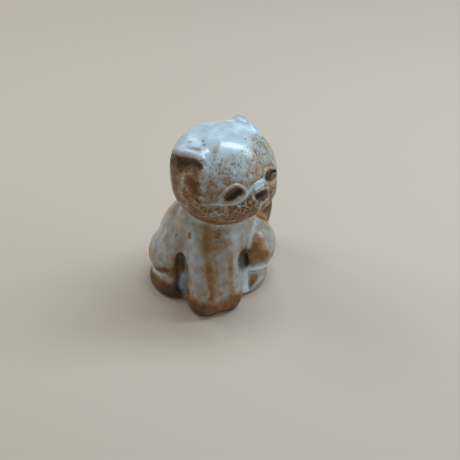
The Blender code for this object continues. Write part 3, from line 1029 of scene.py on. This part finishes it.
def pale_table():
    """Matt near the kitten, and plain pale light to the camera further off."""
    finish = bpy.data.materials.new("pale_table")
    finish.use_nodes = True
    tree = finish.node_tree
    matt = tree.nodes["Principled BSDF"]
    matt.inputs["Base Color"].default_value = TABLE_COLOUR
    matt.inputs["Roughness"].default_value = TABLE_ROUGH
    place = wire(tree, "ShaderNodeTexCoord").outputs["Object"]
    distance = wire(tree, "ShaderNodeVectorMath", operation="LENGTH", i0=place).outputs["Value"]
    far = spread(tree, distance, NEAR_TABLE, FAR_TABLE, 0.0, 1.0)
    seen = wire(tree, "ShaderNodeLightPath").outputs["Is Camera Ray"]
    share = math_node(tree, "MULTIPLY", far, seen)
    plain = wire(tree, "ShaderNodeEmission", Color=PALE, Strength=1.0)
    mixed = wire(tree, "ShaderNodeMixShader", Fac=share, i1=matt.outputs[0], i2=plain.outputs[0])
    tree.links.new(mixed.outputs[0], tree.nodes["Material Output"].inputs["Surface"])
    return finish


sides = [(-FLOOR_HALF, -FLOOR_HALF, 0), (FLOOR_HALF, -FLOOR_HALF, 0), (FLOOR_HALF, FLOOR_HALF, 0),
         (-FLOOR_HALF, FLOOR_HALF, 0)]
floor_mesh = bpy.data.meshes.new("table")
floor_mesh.from_pydata(sides, [], [(0, 1, 2, 3)])
table = bpy.data.objects.new("table", floor_mesh)
table.data.materials.append(pale_table())
bpy.context.scene.collection.objects.link(table)
print("table, metres across:", 2 * FLOOR_HALF)

# %% [markdown]
# ## The camera
# It stands in front of the kitten and looks down steeply, as a person does at a small thing on a
# table. It has a long lens, because a short one so close would make the head look bigger still.

# %% The camera
CAMERA_PLACE = Vector((-20.05, -203.69, 209.0)) * MM
CAMERA_TURN = 7.0
CAMERA_DOWN = 43.0
LENS = 76.7

camera = bpy.data.objects.new("camera", bpy.data.cameras.new("camera"))
camera.data.lens = LENS
camera.data.sensor_width = 36
camera.data.clip_start = 0.01
camera.location = CAMERA_PLACE
turned = Matrix.Rotation(math.radians(-CAMERA_TURN), 4, "Z")
tipped = Matrix.Rotation(math.radians(90 - CAMERA_DOWN), 4, "X")
camera.rotation_euler = (turned @ tipped).to_euler()
bpy.context.scene.collection.objects.link(camera)
bpy.context.scene.camera = camera
print("camera to head, mm:", round((CAMERA_PLACE - HEAD_CENTRE).length / MM))

# %% [markdown]
# ## The light
# One long window above leaves the strip of light on the head. Glossy glaze shows every lamp, so the
# others are broad and soft. The room itself gives a little light from all round, and shows the
# camera the same pale colour as the far table.

# %% The lamps
WINDOW_LIGHT = (0.72, 0.89, 1.0)


def soft_box(name, way, distance, side, watts):
    """A square soft lamp in that direction from the head, facing it."""
    lamp = bpy.data.lights.new(name, "AREA")
    lamp.shape = "SQUARE"
    lamp.size = side
    lamp.energy = watts
    made = bpy.data.objects.new(name, lamp)
    way = Vector(way).normalized()
    made.location = HEAD_CENTRE + way * distance
    made.rotation_euler = (-way).to_track_quat("-Z", "Y").to_euler()
    bpy.context.scene.collection.objects.link(made)


def window_lamp(name, start, end, distance, breadth, watts):
    """A long soft lamp that spans the two directions from the head, like a window."""
    start, end = Vector(start).normalized(), Vector(end).normalized()
    way = (start + end).normalized()
    lamp = bpy.data.lights.new(name, "AREA")
    lamp.shape = "RECTANGLE"
    lamp.size = 2 * distance * math.tan(start.angle(end) / 2)
    lamp.size_y = breadth
    lamp.energy = watts
    lamp.color = WINDOW_LIGHT
    along = (end - start).normalized()
    facing = Matrix((along, way.cross(along), way)).transposed().to_4x4()
    made = bpy.data.objects.new(name, lamp)
    made.matrix_world = Matrix.Translation(HEAD_CENTRE + way * distance) @ facing
    bpy.context.scene.collection.objects.link(made)


window_lamp("window", start=(-0.05, 0.29, 0.955), end=(0.84, 0.06, 0.54), distance=0.32,
            breadth=0.078, watts=0.92)
soft_box("room", way=(-0.6, -0.9, 0.6), distance=0.6, side=0.6, watts=0.2)
soft_box("sky", way=(-0.66, 0.42, 0.62), distance=0.4, side=0.22, watts=0.42)
soft_box("side", way=(0.9, -0.3, 0.3), distance=0.5, side=0.25, watts=0.22)

# %% The light of the room
ROOM_LIGHT = (0.95, 0.97, 1.0, 1)
ROOM_STRENGTH = 0.2

world = bpy.data.worlds.new("room_light")
bpy.context.scene.world = world
world.use_nodes = True
room = world.node_tree
light = room.nodes["Background"]
light.inputs["Color"].default_value = ROOM_LIGHT
light.inputs["Strength"].default_value = ROOM_STRENGTH
seen = wire(room, "ShaderNodeLightPath").outputs["Is Camera Ray"]
backdrop = wire(room, "ShaderNodeBackground", Color=PALE, Strength=1.0)
either = wire(room, "ShaderNodeMixShader", Fac=seen, i1=light.outputs[0], i2=backdrop.outputs[0])
room.links.new(either.outputs[0], room.nodes["World Output"].inputs["Surface"])
bpy.context.scene.view_settings.view_transform = "Standard"
print("world:", world.name)
